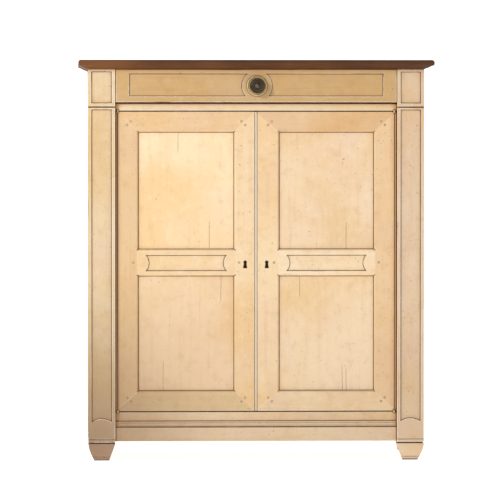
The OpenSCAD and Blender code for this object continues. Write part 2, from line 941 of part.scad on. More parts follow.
module middle_rail(w, lock_w, lock_bead) {
    field_in = 23;
    field_edge = 17;
    field_x0 = open_x0(w, lock_w) + field_in;
    field_x1 = open_x1 - field_in;
    field_h = mid_rail_h - 2 * field_edge;
    field_z = mid_z - 1.5;
    bite = 12;
    end_r = bite_radius(field_h, bite);
    color(cream)
        difference() {
            union() {
                mid_shoulders(w, lock_w, 0);
                mid_tenons(w, lock_w, 0);
            }
            rail_chamfer(w, lock_w, mid_z0, 1);
            rail_chamfer(w, lock_w, mid_z1, -1);
            across(door_y - over, door_y + field_sink)
                difference() {
                    translate([field_x0, field_z - field_h / 2])
                        square([field_x1 - field_x0, field_h]);
                    translate([field_x0 + bite - end_r, field_z])
                        circle(r = end_r);
                    translate([field_x1 - bite + end_r, field_z])
                        circle(r = end_r);
                }
            frame_cuts(w, lock_w, lock_bead);
        }
}

module door_panel(w, lock_w, z0, z1) {
    color(cream)
        panel_solid(w, lock_w, z0, z1, 0);
}

// The case of a rim lock, open towards the wood, with a slot in the side by the meeting line
module lock_case(w) {
    x0 = lock_x(w) + case_in;
    slot_z = keyhole_z + slot_rise;
    color(iron)
        difference() {
            span([x0, x0 + case_w], [door_back, door_back + case_d],
                [keyhole_z - case_h / 2, keyhole_z + case_h / 2]);
            span([x0 + case_wall, x0 + case_w - case_wall],
                [door_back - over, door_back + case_d - case_wall],
                [keyhole_z - case_h / 2 + case_wall, keyhole_z + case_h / 2 - case_wall]);
            span([x0 - over, x0 + case_wall + over],
                [rod_y - lock_bolt_t / 2 - slide_gap, rod_y + lock_bolt_t / 2 + slide_gap],
                [slot_z - lock_bolt_h / 2 - slide_gap, slot_z + lock_bolt_h / 2 + slide_gap]);
        }
}

module right_hinge_stile() { hinge_stile(right_door_w, right_lock_stile_w, true); }
module right_lock_stile() { lock_stile(right_door_w, right_lock_stile_w, true); }
module right_top_rail() { end_rail(right_door_w, right_lock_stile_w, true, door_z1, open_top); }
module right_bottom_rail() { end_rail(right_door_w, right_lock_stile_w, true, door_z0, open_bottom); }
module right_middle_rail() { middle_rail(right_door_w, right_lock_stile_w, true); }
module right_upper_panel() { door_panel(right_door_w, right_lock_stile_w, mid_z1, open_top); }
module right_lower_panel() { door_panel(right_door_w, right_lock_stile_w, open_bottom, mid_z0); }
module right_door_pegs() { color(cream) pegs(right_door_w, right_lock_stile_w, 0, 0); }
module right_lock_case() { lock_case(right_door_w); }

module right_lock_bolt() {
    bolt_l = 34;
    x0 = lock_x(right_door_w) + case_in;
    slot_z = keyhole_z + slot_rise;
    color(iron)
        span([x0, x0 + bolt_l], [rod_y - lock_bolt_t / 2, rod_y + lock_bolt_t / 2],
            [slot_z - lock_bolt_h / 2, slot_z + lock_bolt_h / 2]);
}

module left_side() {
    mirror([1, 0, 0])
        children();
}

module left_hinge_stile() { left_side() hinge_stile(left_door_w, left_lock_stile_w, false); }
module left_lock_stile() { left_side() lock_stile(left_door_w, left_lock_stile_w, false); }
module left_top_rail() { left_side() end_rail(left_door_w, left_lock_stile_w, false, door_z1, open_top); }
module left_bottom_rail() {
    left_side()
        end_rail(left_door_w, left_lock_stile_w, false, door_z0, open_bottom);
}
module left_middle_rail() { left_side() middle_rail(left_door_w, left_lock_stile_w, false); }
module left_upper_panel() { left_side() door_panel(left_door_w, left_lock_stile_w, mid_z1, open_top); }
module left_lower_panel() { left_side() door_panel(left_door_w, left_lock_stile_w, open_bottom, mid_z0); }
module left_door_pegs() { color(cream) left_side() pegs(left_door_w, left_lock_stile_w, 0, 0); }

module left_lock_case() {
    color(iron)
        difference() {
            left_side()
                lock_case(left_door_w);
            rod_hole(keyhole_z - case_h, keyhole_z - case_h / 2 + 2 * case_wall);
            rod_hole(keyhole_z + case_h / 2 - 2 * case_wall, keyhole_z + case_h);
        }
}

// Blocks on the inner face of the left lock stile that guide the rods
module left_rod_guides() {
    end_in = 50;
    spread = 200;
    wall = 4;
    heights = [door_z0 + end_in, keyhole_z - spread, keyhole_z + spread, door_z1 - end_in - guide_h];
    color(iron)
        for (z = heights)
            difference() {
                span([rod_x - guide_w / 2, rod_x + guide_w / 2], [door_back, rod_y + rod_r + wall],
                    [z, z + guide_h]);
                rod_hole(z - over, z + guide_h + over);
            }
}

module left_upper_rod() {
    color(iron)
        rod_along_z(rod_x, rod_y, rod_r, keyhole_z + rod_inner_end, door_z1 - 2);
}

module left_lower_rod() {
    color(iron)
        rod_along_z(rod_x, rod_y, rod_r, door_z0 + 2, keyhole_z - rod_inner_end);
}

// ---- Drawer ----

module drawer_bottom_solid(gap) {
    z0 = box_z0 + 8;
    half = box_half - 6 + gap;
    span([-half, half], [box_y0 - 6 - gap, box_y1], [z0 - gap, z0 + drawer_bottom_t + gap]);
}

module drawer_front() {
    x_end = post_in - door_gap - drawer_field_margin;
    field_z0 = drawer_z0 + drawer_field_edge + 3;
    field_z1 = drawer_z1 - drawer_field_edge + 3;
    color(cream)
        difference() {
            span([-post_in + door_gap, post_in - door_gap], [front_y, box_y0], [drawer_z0, drawer_z1]);
            across(front_y - over, front_y + field_sink)
                difference() {
                    translate([-x_end, field_z0])
                        square([2 * x_end, field_z1 - field_z0]);
                    translate([knob_offset, knob_z])
                        circle(r = bite_r, $fn = 96);
                }
            rod_along_y(knob_offset, knob_z, bolt_r + fit / 2, front_y - over, box_y0 + over);
            drawer_bottom_solid(fit);
        }
}

module drawer_side() {
    color(inside_wood)
        difference() {
            span([box_half - drawer_side_t, box_half], [box_y0, box_y1], [box_z0, box_z0 + drawer_side_h]);
            drawer_bottom_solid(fit);
        }
}

module drawer_right_side() { drawer_side(); }
module drawer_left_side() { mirror([1, 0, 0]) drawer_side(); }

module drawer_back() {
    half = box_half - drawer_side_t;
    color(inside_wood)
        span([-half, half], [box_y1 - drawer_side_t, box_y1],
            [box_z0 + 8 + drawer_bottom_t, box_z0 + drawer_side_h - 6]);
}

module drawer_bottom() {
    color(inside_wood)
        drawer_bottom_solid(0);
}

// Places a turned piece on the drawer front, its axis pointing out
module on_drawer() {
    translate([knob_offset, front_y, knob_z])
        rotate([90, 0, 0])
            children();
}

plate_h = 4;

module knob_rosette() {
    color(brass)
        on_drawer()
            rotate_extrude($fn = 96)
                polygon(concat(
                    [[bolt_r + fit / 2, 0], [rosette_r, 0], [rosette_r, 1.5]],
                    arc([rosette_r - 3.5, 1.5], 2.5, 20, 160),
                    [[rosette_r - 7, 2.5], [rosette_r - 12, plate_h], [bolt_r + fit / 2, plate_h]]
                ));
}

// A stem and a dished head with raised rings
module drawer_knob() {
    rim_h = knob_l - 9;
    bore = bolt_r + fit / 2;
    bore_h = knob_l - 8;
    color(bronze)
        on_drawer()
            rotate_extrude($fn = 96)
                polygon(concat(
                    [[bore, plate_h], [12, plate_h], [10, plate_h + 3], [9, rim_h - 6]],
                    [[knob_r - 6, rim_h - 2]],
                    arc([knob_r - 3, rim_h + 1.5], 3, -60, 110),
                    arc([knob_r - 8, rim_h + 3.5], 2, -10, 170),
                    arc([knob_r - 12.5, rim_h + 5.5], 1.7, -10, 170),
                    [[10.5, rim_h + 5]],
                    [for (i = [0:6]) [8 * cos(i * 15), rim_h + 5 + 4 * sin(i * 15)]],
                    [[0, bore_h], [bore, bore_h]]
                ));
}

module knob_bolt() {
    head_r = bolt_r * 2.2;
    color(iron)
        translate([knob_offset, front_y, knob_z])
            rotate([-90, 0, 0])
                union() {
                    translate([0, 0, -knob_l + 9])
                        cylinder(h = knob_l - 9 + drawer_front_t + 1, r = bolt_r);
                    translate([0, 0, drawer_front_t])
                        cylinder(h = 3, r = head_r);
                }
}

top_board();
left_front_post();
right_front_post();
left_rear_post();
right_rear_post();
left_front_foot();
right_front_foot();
left_rear_foot();
right_rear_foot();
left_side_rails();
right_side_rails();
left_side_panels();
right_side_panels();
header_rail();
top_front_rail();
bottom_front_rail();
plinth_board();
back_rails();
back_boards();
floor_board();
drawer_runners();
dust_panel();
upper_shelf();
lower_shelf();
shelf_cleats();
door_stops();
frame_hinge_plates();
drawer_front();
drawer_left_side();
drawer_right_side();
drawer_back();
drawer_bottom();
knob_rosette();
drawer_knob();
knob_bolt();
left_hinge_stile();
left_lock_stile();
left_top_rail();
left_middle_rail();
left_bottom_rail();
left_upper_panel();
left_lower_panel();
left_door_pegs();
left_hinge_plates();
left_lock_case();
left_rod_guides();
left_upper_rod();
left_lower_rod();
right_hinge_stile();
right_lock_stile();
right_top_rail();
right_middle_rail();
right_bottom_rail();
right_upper_panel();
right_lower_panel();
right_door_pegs();
right_hinge_plates();
right_lock_case();
right_lock_bolt();
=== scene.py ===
"""The looks of the armoire: worn cream paint below a stained top, with aged bronze, brass and iron."""

import json
import math
import random

import bmesh
import bpy
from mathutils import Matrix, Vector, noise

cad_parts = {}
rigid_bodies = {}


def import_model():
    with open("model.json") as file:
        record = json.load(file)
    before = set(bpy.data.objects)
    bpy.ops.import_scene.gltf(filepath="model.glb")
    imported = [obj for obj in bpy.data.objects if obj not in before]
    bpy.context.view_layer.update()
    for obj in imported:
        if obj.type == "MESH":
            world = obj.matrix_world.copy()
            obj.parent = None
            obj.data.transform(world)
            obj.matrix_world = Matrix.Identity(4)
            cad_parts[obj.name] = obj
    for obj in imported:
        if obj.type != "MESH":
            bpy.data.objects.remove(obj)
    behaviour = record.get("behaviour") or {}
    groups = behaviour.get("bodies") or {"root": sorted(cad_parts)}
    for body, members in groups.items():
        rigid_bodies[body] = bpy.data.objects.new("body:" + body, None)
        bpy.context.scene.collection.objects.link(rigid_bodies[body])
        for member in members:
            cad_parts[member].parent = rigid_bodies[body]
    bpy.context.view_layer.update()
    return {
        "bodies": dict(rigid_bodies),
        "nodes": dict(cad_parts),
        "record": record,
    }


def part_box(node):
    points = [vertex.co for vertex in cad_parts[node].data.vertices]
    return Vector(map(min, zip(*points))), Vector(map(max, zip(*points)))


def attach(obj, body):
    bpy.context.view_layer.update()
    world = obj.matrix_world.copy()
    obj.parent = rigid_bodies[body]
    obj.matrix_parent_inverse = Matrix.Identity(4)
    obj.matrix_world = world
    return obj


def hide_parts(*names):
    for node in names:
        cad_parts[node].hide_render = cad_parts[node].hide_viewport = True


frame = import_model()
nodes = frame["nodes"]
slots = {subpart["node"]: subpart["material_slot"] for subpart in frame["record"]["subparts"]}

MM = 0.001
random.seed(7)


# ---- Colours, as sRGB from 0 to 255 ----

def linear(red, green, blue):
    """A shader colour from an sRGB one."""
    def channel(value):
        value = value / 255
        return value / 12.92 if value <= 0.04045 else ((value + 0.055) / 1.055) ** 2.4
    return (channel(red), channel(green), channel(blue), 1.0)


CREAM = linear(243, 216, 176)
CREAM_WARM = linear(236, 200, 148)
CREAM_PINK = linear(238, 206, 172)
SMOKED = linear(196, 158, 112)
# Painted shade, laid over the lower left of the paint
LOWER_LEFT_SHADE = linear(148, 116, 84)
GOLDEN = linear(192, 136, 70)
# Brown of wax, also laid as painted shade in corners and as a painted shadow at the hinges
WAX_AND_SHADE = linear(84, 56, 30)
PRIMER = linear(248, 236, 218)
# Brown of bare chips, also laid as painted shade near recesses
CHIPPED_AND_SHADE = linear(126, 92, 60)


# ---- Shader building ----

class Shader:
    """A material whose nodes are made by short calls; lengths are in metres, as in the frame."""

    def __init__(self, name):
        self.material = bpy.data.materials.new(name)
        self.material.use_nodes = True
        self.tree = self.material.node_tree
        self.bsdf = self.tree.nodes["Principled BSDF"]
        self.place = self.node("ShaderNodeTexCoord").outputs["Object"]

    def node(self, kind, **settings):
        """A new node with some of its properties set."""
        made = self.tree.nodes.new(kind)
        for key, value in settings.items():
            setattr(made, key, value)
        return made

    def set(self, socket, value):
        """Links a socket, or sets it when the value is a constant."""
        if isinstance(value, bpy.types.NodeSocket):
            self.tree.links.new(value, socket)
        else:
            socket.default_value = value

    def math(self, operation, first, second=0.0):
        """The result of one arithmetic operation."""
        made = self.node("ShaderNodeMath", operation=operation)
        self.set(made.inputs[0], first)
        self.set(made.inputs[1], second)
        return made.outputs[0]

    def times(self, first, second):
        """The product of two masks, or of a mask and a number."""
        return self.math("MULTIPLY", first, second)

    def stretch(self, scale, offset):
        """The place in the frame, scaled and then moved."""
        made = self.node("ShaderNodeMapping")
        self.set(made.inputs["Vector"], self.place)
        made.inputs["Scale"].default_value = scale
        made.inputs["Location"].default_value = offset
        return made.outputs[0]

    def noise(self, scale, detail, roughness, stretch=(1, 1, 1), offset=(0, 0, 0), distort=0.0):
        """Cloudy noise from 0 to 1 with about scale clouds a metre."""
        made = self.node("ShaderNodeTexNoise")
        self.set(made.inputs["Vector"], self.stretch(stretch, offset))
        made.inputs["Scale"].default_value = scale
        made.inputs["Detail"].default_value = detail
        made.inputs["Roughness"].default_value = roughness
        made.inputs["Distortion"].default_value = distort
        return made.outputs["Fac"]

    def ramp(self, value, low, high, out_low=0.0, out_high=1.0):
        """A smooth step from out_low to out_high as the value goes from low to high."""
        made = self.node("ShaderNodeMapRange", interpolation_type="SMOOTHSTEP")
        self.set(made.inputs["Value"], value)
        made.inputs["From Min"].default_value = low
        made.inputs["From Max"].default_value = high
        made.inputs["To Min"].default_value = out_low
        made.inputs["To Max"].default_value = out_high
        return made.outputs["Result"]

    def mix(self, factor, first, second, blend="MIX"):
        """The first colour where the factor is 0, turning to the second where it is 1."""
        made = self.node("ShaderNodeMix", data_type="RGBA", blend_type=blend)
        self.set(made.inputs[0], factor)
        self.set(made.inputs[6], first)
        self.set(made.inputs[7], second)
        return made.outputs[2]

    def lay(self, color, share, mask, over):
        """The colour with another laid over it, as a share of the mask."""
        return self.mix(self.times(mask, share), color, over)

    def recess(self, distance, low, high):
        """1 deep in a corner or groove, 0 on an open face."""
        made = self.node("ShaderNodeAmbientOcclusion", samples=8)
        made.inputs["Distance"].default_value = distance
        return self.ramp(made.outputs["AO"], low, high, 1.0, 0.0)

    def edge(self, radius, low, high):
        """1 on an edge, 0 on a flat face."""
        bevel = self.node("ShaderNodeBevel", samples=6)
        bevel.inputs["Radius"].default_value = radius
        face = self.node("ShaderNodeNewGeometry").outputs["Normal"]
        dot = self.node("ShaderNodeVectorMath", operation="DOT_PRODUCT")
        self.set(dot.inputs[0], bevel.outputs[0])
        self.set(dot.inputs[1], face)
        return self.ramp(dot.outputs["Value"], low, high, 1.0, 0.0)

    def along(self, axis):
        """The place in the frame along one axis."""
        split = self.node("ShaderNodeSeparateXYZ")
        self.set(split.inputs[0], self.place)
        return split.outputs["XYZ".index(axis)]

    def bump(self, height, distance, strength, normal=None):
        """A normal roughened by a height, over an earlier normal if there is one."""
        made = self.node("ShaderNodeBump")
        made.inputs["Distance"].default_value = distance
        made.inputs["Strength"].default_value = strength
        self.set(made.inputs["Height"], height)
        if normal is not None:
            self.set(made.inputs["Normal"], normal)
        return made.outputs[0]

    def finish(self, color, roughness, normal=None, metallic=0.0):
        """Plugs the results into the material and returns it."""
        self.set(self.bsdf.inputs["Base Color"], color)
        self.set(self.bsdf.inputs["Roughness"], roughness)
        self.set(self.bsdf.inputs["Metallic"], metallic)
        if normal is not None:
            self.set(self.bsdf.inputs["Normal"], normal)
        return self.material


def grain_stretch(direction):
    """Scale of the coordinates that draws noise out along the grain, to 20 times its width."""
    return tuple(0.05 if axis == direction else 1 for axis in "XYZ")


def shifted(offset, step):
    """An offset moved on, for a second noise of one piece that has to differ from the first."""
    return tuple(value + step for value in offset)


# ---- Materials ----

def cream_paint(name, direction, offset, tint_and_shade, worn, hinge_shadow, hinge_shadow_from, bead_x):
    """Old brushed paint: mottled cream, brown wax and painted shade in the recesses, rubbed edges with
    chips.

    worn is how far the edges are rubbed. hinge_shadow, a painted shadow of the posts, darkens what lies
    beyond hinge_shadow_from on either side of the middle. bead_x is where a pale bead stands, or None.
    """
    s = Shader(name)
    draw = grain_stretch(direction)
    clouds = s.noise(2.6, 3.0, 0.55, offset=offset)
    blush = s.noise(5.2, 3.0, 0.5, offset=shifted(offset, 9))
    mottle = s.noise(34, 4.0, 0.6, offset=offset)
    streaks = s.noise(46, 5.0, 0.6, stretch=draw, offset=offset)
    fine = s.noise(240, 3.0, 0.6, stretch=draw, offset=offset)
    specks = s.noise(150, 2.0, 0.5, offset=offset)

    color = s.mix(s.ramp(clouds, 0.38, 0.66), CREAM, CREAM_WARM)
    color = s.lay(color, 0.55, s.ramp(blush, 0.46, 0.68), CREAM_PINK)
    color = s.lay(color, 0.22, s.ramp(mottle, 0.50, 0.74), SMOKED)
    color = s.lay(color, 0.22, s.ramp(mottle, 0.46, 0.28), PRIMER)
    color = s.lay(color, 0.14, s.ramp(streaks, 0.50, 0.76), GOLDEN)
    color = s.lay(color, 0.08, s.ramp(fine, 0.52, 0.8), CHIPPED_AND_SHADE)
    color = s.lay(color, 0.65, s.ramp(specks, 0.70, 0.75), CHIPPED_AND_SHADE)

    # Painted shade: the paint darkens towards the lower left, where the light falls off
    low = s.ramp(s.along("Z"), 0.02, 0.70, 1.0, 0.0)
    left = s.ramp(s.along("X"), -0.60, -0.05, 1.0, 0.22)
    color = s.lay(color, 0.85, s.times(low, left), LOWER_LEFT_SHADE)
    # Each piece's tint: partly its own tone, partly painted light and shade
    color = s.mix(1.0, color, (*tint_and_shade, 1.0), "MULTIPLY")

    # Painted shadow: the front posts' shadow on the bead at the hinges
    if hinge_shadow:
        from_middle = s.math("ABSOLUTE", s.along("X"))
        beyond = s.ramp(from_middle, hinge_shadow_from - 0.5 * MM, hinge_shadow_from + 0.5 * MM)
        color = s.lay(color, hinge_shadow, beyond, WAX_AND_SHADE)

    # Rubbed edges where nothing is close by: primer shows, and bare chips here and there
    raised = s.math("SUBTRACT", 1.0, s.recess(0.003, 0.80, 0.98))
    rub = s.times(s.edge(worn, 0.80, 0.985), raised)
    wander = s.noise(22, 4.0, 0.65, stretch=draw, offset=offset)
    color = s.mix(s.times(rub, s.ramp(wander, 0.34, 0.55)), color, PRIMER)
    chips = s.ramp(s.noise(60, 4.0, 0.7, stretch=draw, offset=shifted(offset, 4)), 0.58, 0.64)
    color = s.mix(s.times(rub, chips), color, CHIPPED_AND_SHADE)

    # Painted shade with some wax in corners and recesses: a golden halo, a brown band, and a dark line
    # in the corner itself; and a dark line along thin joints
    patchy = s.ramp(s.noise(30, 3.0, 0.6, offset=offset), 0.25, 0.6, 0.55, 1.0)
    off_floor = s.ramp(s.along("Z"), 0.004, 0.05)
    halo = s.times(s.recess(0.026, 0.50, 0.96), off_floor)
    color = s.lay(color, 0.88, halo, GOLDEN)
    shade = s.times(s.recess(0.012, 0.38, 0.82), patchy)
    color = s.lay(color, 0.75, shade, CHIPPED_AND_SHADE)
    line = s.times(s.recess(0.005, 0.44, 0.90), patchy)
    color = s.mix(line, color, WAX_AND_SHADE)
    hairline = s.times(s.recess(0.003, 0.80, 0.985), s.ramp(patchy, 0.5, 1.0, 0.6, 1.0))
    color = s.mix(hairline, color, WAX_AND_SHADE)

    # The crest of the bead is paler, in patches
    if bead_x is not None:
        from_bead = s.math("ABSOLUTE", s.math("SUBTRACT", s.along("X"), bead_x))
        pale_crest = s.times(s.ramp(from_bead, 1.9 * MM, 1.2 * MM), s.ramp(wander, 0.30, 0.45))
        color = s.lay(color, 0.85, pale_crest, PRIMER)

    rough = s.ramp(clouds, 0.3, 0.7, 0.46, 0.62)
    normal = s.bump(streaks, 0.0006, 0.25)
    normal = s.bump(s.math("ADD", mottle, s.times(specks, 0.5)), 0.0004, 0.35, normal)
    return s.finish(color, rough, normal)


def stained_wood(name, direction):
    """Cherry stain with long dark grain, lighter where the edge is rubbed, with painted shade in its
    corners.
    """
    s = Shader(name)
    draw = grain_stretch(direction)
    figure = s.noise(9, 6.0, 0.6, stretch=draw, distort=0.8)
    pores = s.noise(260, 4.0, 0.7, stretch=draw)
    clouds = s.noise(3.0, 3.0, 0.5)
    color = s.mix(s.ramp(figure, 0.35, 0.68), linear(102, 58, 24), linear(64, 34, 12))
    color = s.lay(color, 0.5, s.ramp(clouds, 0.4, 0.7), linear(140, 88, 44))
    color = s.lay(color, 0.55, s.ramp(pores, 0.55, 0.72), linear(48, 28, 18))
    rub = s.times(s.edge(0.004, 0.82, 0.98), s.ramp(s.noise(18, 3.0, 0.6), 0.4, 0.62))
    color = s.lay(color, 0.45, rub, linear(160, 112, 76))
    # Painted shade: darker in corners and recesses
    color = s.mix(s.recess(0.008, 0.4, 0.8), color, linear(52, 32, 20))
    rough = s.ramp(pores, 0.3, 0.7, 0.56, 0.72)
    s.bsdf.inputs["Specular IOR Level"].default_value = 0.3
    normal = s.bump(s.math("ADD", pores, figure), 0.0004, 0.4)
    return s.finish(color, rough, normal)


def bare_wood(name, direction, offset):
    """Oiled pine for the inside and the back, with painted shade in its corners."""
    s = Shader(name)
    draw = grain_stretch(direction)
    figure = s.noise(14, 5.0, 0.6, stretch=draw, offset=offset, distort=1.2)
    pores = s.noise(210, 4.0, 0.65, stretch=draw, offset=offset)
    knots = s.noise(5.5, 2.0, 0.5, offset=offset)
    color = s.mix(s.ramp(figure, 0.36, 0.66), linear(206, 168, 118), linear(168, 122, 76))
    color = s.lay(color, 0.4, s.ramp(pores, 0.55, 0.75), linear(120, 82, 48))
    color = s.lay(color, 0.7, s.ramp(knots, 0.66, 0.74), linear(104, 66, 38))
    # Painted shade: darker in corners and recesses
    color = s.lay(color, 0.6, s.recess(0.02, 0.4, 0.9), linear(92, 64, 40))
    rough = s.ramp(pores, 0.3, 0.7, 0.6, 0.78)
    normal = s.bump(s.math("ADD", figure, pores), 0.0005, 0.45)
    return s.finish(color, rough, normal)


def old_metal(name, dark, bright, metallic, rough_low, rough_high):
    """Metal with a dark patina that is rubbed bright along its edges."""
    s = Shader(name)
    patina = s.noise(120, 5.0, 0.6)
    pits = s.noise(420, 3.0, 0.6)
    between = tuple(0.6 * d + 0.4 * b for d, b in zip(dark, bright))
    color = s.mix(s.ramp(patina, 0.42, 0.7), dark, between)
    crest = s.math("SUBTRACT", 1.0, s.recess(0.004, 0.75, 0.99))
    color = s.mix(s.times(crest, s.ramp(patina, 0.25, 0.6, 0.35, 0.9)), color, bright)
    color = s.mix(s.recess(0.003, 0.45, 0.94), color, linear(12, 9, 7))
    rough = s.ramp(patina, 0.3, 0.7, rough_low, rough_high)
    return s.finish(color, rough, s.bump(s.math("ADD", patina, pits), 0.0002, 0.4), metallic)


# ---- Which material each piece gets ----

bronze = old_metal("aged_bronze", linear(22, 18, 15), linear(108, 92, 70), 0.55, 0.42, 0.62)
brass = old_metal("aged_brass", linear(160, 128, 78), linear(226, 200, 146), 0.45, 0.40, 0.60)
iron = old_metal("iron", linear(58, 52, 46), linear(150, 140, 124), 0.80, 0.42, 0.66)
METALS = {"aged_bronze": bronze, "aged_brass": brass, "iron": iron}
top_wood = stained_wood("stained_top", "X")

# How the paint of a piece differs from the plain cream, as shares of red, green and blue; part its own tone
# and part painted light and shade
TINTS_AND_SHADE = {
    "drawer_front": (0.66, 0.59, 0.47),
    "left_top_rail": (0.86, 0.82, 0.80),
    "right_top_rail": (0.80, 0.71, 0.63),
    "left_hinge_stile": (0.81, 0.74, 0.65),
    "right_hinge_stile": (0.86, 0.78, 0.70),
    "lock_stile": (0.92, 0.90, 0.87),
    "left_lower_panel": (0.90, 0.87, 0.86),
    "right_lower_panel": (0.93, 0.94, 0.98),
    "right_upper_panel": (0.92, 0.93, 1.00),
    "middle_rail": (0.95, 0.98, 1.05),
    "left_bottom_rail": (0.76, 0.72, 0.62),
    "right_bottom_rail": (0.89, 0.89, 0.90),
    "left_front_post": (0.81, 0.82, 0.83),
    "header_rail": (0.84, 0.87, 0.91),
    "right_front_post": (0.80, 0.78, 0.81),
    "plinth_board": (0.82, 0.82, 0.85),
    "bottom_front_rail": (0.85, 0.86, 0.92),
    "left_front_foot": (0.74, 0.72, 0.78),
    "right_front_foot": (0.85, 0.87, 0.95),
    "door_pegs": (0.62, 0.56, 0.48),
}


def runs_along(node):
    """The axis that a piece's grain follows."""
    low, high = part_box(node)
    size = high - low
    if node == "back_boards" or "panel" in node and node != "dust_panel":
        return "Z"
    return "XYZ"[max(range(3), key=lambda i: size[i])]


# How far the paint is rubbed back from an edge, in metres: the first word that is in the name counts
WORN = {"post": 0.0065, "drawer_front": 0.0055, "middle_rail": 0.004, "side": 0.003, "pegs": 0.0004}
WORN_ELSEWHERE = 0.0012

# How dark the front posts' painted shadow on the hinge edges is, and how far in the bead and its groove
# reach
HINGE_SHADOWS = {"left_hinge_stile": 0.75, "right_hinge_stile": 0.35}
HINGE_BEAD_W = 7 * MM

# The crest of the right lock stile's bead, from the stile's own edge
LOCK_BEAD_CREST = 2.3 * MM


def tint_and_shade_of(node):
    """The tint, own tone with painted light and shade, of the longest name in the tints that the node's
    name ends with.
    """
    names = [name for name in TINTS_AND_SHADE if node.endswith(name)]
    return TINTS_AND_SHADE[max(names, key=len)] if names else (1.0, 1.0, 1.0)


def paint_of(node, offset):
    """The painted material of one piece."""
    low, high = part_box(node)
    worn = next((reach for word, reach in WORN.items() if word in node), WORN_ELSEWHERE)
    hinge_shadow_from = max(abs(low.x), abs(high.x)) - HINGE_BEAD_W
    bead_x = low.x + LOCK_BEAD_CREST if node == "right_lock_stile" else None
    name = f"cream_paint_{node}"
    return cream_paint(
        name, runs_along(node), offset, tint_and_shade_of(node), worn, HINGE_SHADOWS.get(node, 0.0), hinge_shadow_from, bead_x
    )


def material_of(node):
    """The material of a piece; a random offset of the noise keeps painted and bare pieces from matching."""
    offset = tuple(random.uniform(-20, 20) for _ in range(3))
    if slots[node] == "cream_paint":
        return paint_of(node, offset)
    if slots[node] == "bare_wood":
        return bare_wood(f"bare_wood_{node}", runs_along(node), offset)
    if slots[node] == "stained_top":
        return top_wood
    return METALS[slots[node]]


def edge_width(node):
    """How wide a piece's edges are softened, in metres; least on metal, and less on the doors' joints."""
    if slots[node] in METALS:
        return 0.3 * MM
    one_of_a_pair = node.startswith(("left_", "right_"))
    if one_of_a_pair and "front" not in node:
        return 0.75 * MM
    return 0.9 * MM


def dress(node):
    """Gives a carried-over node its material and softens its edges."""
    material = material_of(node)
    piece = nodes[node]
    piece.data.materials.clear()
    piece.data.materials.append(material)
    custom = piece.data.attributes.get("custom_normal")
    if custom:
        piece.data.attributes.remove(custom)
    piece.data.polygons.foreach_set("use_smooth", [False] * len(piece.data.polygons))
    weld = piece.modifiers.new("join_corners", "WELD")
    weld.merge_threshold = 0.01 * MM
    flats = piece.modifiers.new("join_flats", "DECIMATE")
    flats.decimate_type = "DISSOLVE"
    flats.angle_limit = math.radians(1)
    soften = piece.modifiers.new("soft_edges", "BEVEL")
    soften.width = edge_width(node)
    soften.segments = 2
    soften.limit_method = "ANGLE"
    soften.angle_limit = math.radians(35)
    return material


materials = {node: dress(node) for node in sorted(nodes)}


# ---- Door panels, with their shakes and slightly uneven faces ----

PANEL_COLUMNS = 36
PANEL_ROWS = 72
CRACK_DEPTH = 1.4 * MM
CRACK_WANDER = 1.6 * MM
CRACK_CLEAR = 5 * MM
SWELL = 0.5 * MM
FLAT_RIM = 12 * MM

# How far to the side each of a crack's five columns stands; the middle one is the bottom of the groove
CRACK_COLUMNS = {-2: -1.2 * MM, -1: -0.55 * MM, 0: 0.0, 1: 0.55 * MM, 2: 1.2 * MM}


def crack_depth(along_crack):
    """Depth of a crack, tapering to nothing at its inner end; along_crack is 0 at the panel's end."""
    if along_crack >= 1:
        return 0.0
    return CRACK_DEPTH * (1 - along_crack ** 3)


def panel_mesh(node, cracks):
    """A solid panel whose front is a grid of points, with a V-shaped groove along each crack.

    A crack is (place across as a share, the end that it starts from, its length as a share). A column of
    the grid is (x, the crack that it belongs to or None, its number in CRACK_COLUMNS).
    """
    low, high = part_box(node)
    width = high.x - low.x
    height = high.z - low.z
    columns = [(low.x + width * i / PANEL_COLUMNS, None, 0) for i in range(PANEL_COLUMNS + 1)]
    for crack in cracks:
        crack_x = low.x + width * crack[0]
        columns = [column for column in columns if abs(column[0] - crack_x) > CRACK_CLEAR]
        columns += [(crack_x, crack, number) for number in CRACK_COLUMNS]
    columns.sort(key=lambda column: (column[0], column[2]))
    rows = [low.z + height * i / PANEL_ROWS for i in range(PANEL_ROWS + 1)]

    def front_point(column, z):
        x, crack, number = column
        depth = 0.0
        if crack is not None:
            end, length = crack[1:]
            x += CRACK_WANDER * noise.noise(Vector((x * 40, 0, z * 9)))
            x += CRACK_COLUMNS[number]
            from_end = z - low.z if end == "bottom" else high.z - z
            if number == 0:
                depth = crack_depth(from_end / (height * length))
        from_rim = min(x - low.x, high.x - x, z - low.z, high.z - z) / FLAT_RIM
        swell = SWELL * noise.noise(Vector((x * 7, 3, z * 3))) * max(0.0, min(1.0, from_rim - 0.6))
        return (x, low.y + depth + swell, z)

    made = bmesh.new()
    grid = [[made.verts.new(front_point(column, z)) for column in columns] for z in rows]
    for lower, upper in zip(grid, grid[1:]):
        for a, b, c, d in zip(lower, lower[1:], upper[1:], upper):
            made.faces.new((a, b, c, d))
    right_side = [row[-1] for row in grid[1:]]
    left_side = [row[0] for row in grid[-2:0:-1]]
    rim = grid[0] + right_side + grid[-1][-2::-1] + left_side
    back = [made.verts.new((point.co.x, high.y, point.co.z)) for point in rim]
    count = len(rim)
    for i in range(count):
        j = (i + 1) % count
        made.faces.new((rim[j], rim[i], back[i], back[j]))
    made.faces.new(back[::-1])
    mesh = bpy.data.meshes.new(node + "_front")
    made.to_mesh(mesh)
    made.free()
    return mesh


def body_name(node):
    """The name of the body that a CAD node belongs to."""
    return next(name for name, empty in frame["bodies"].items() if empty == nodes[node].parent)


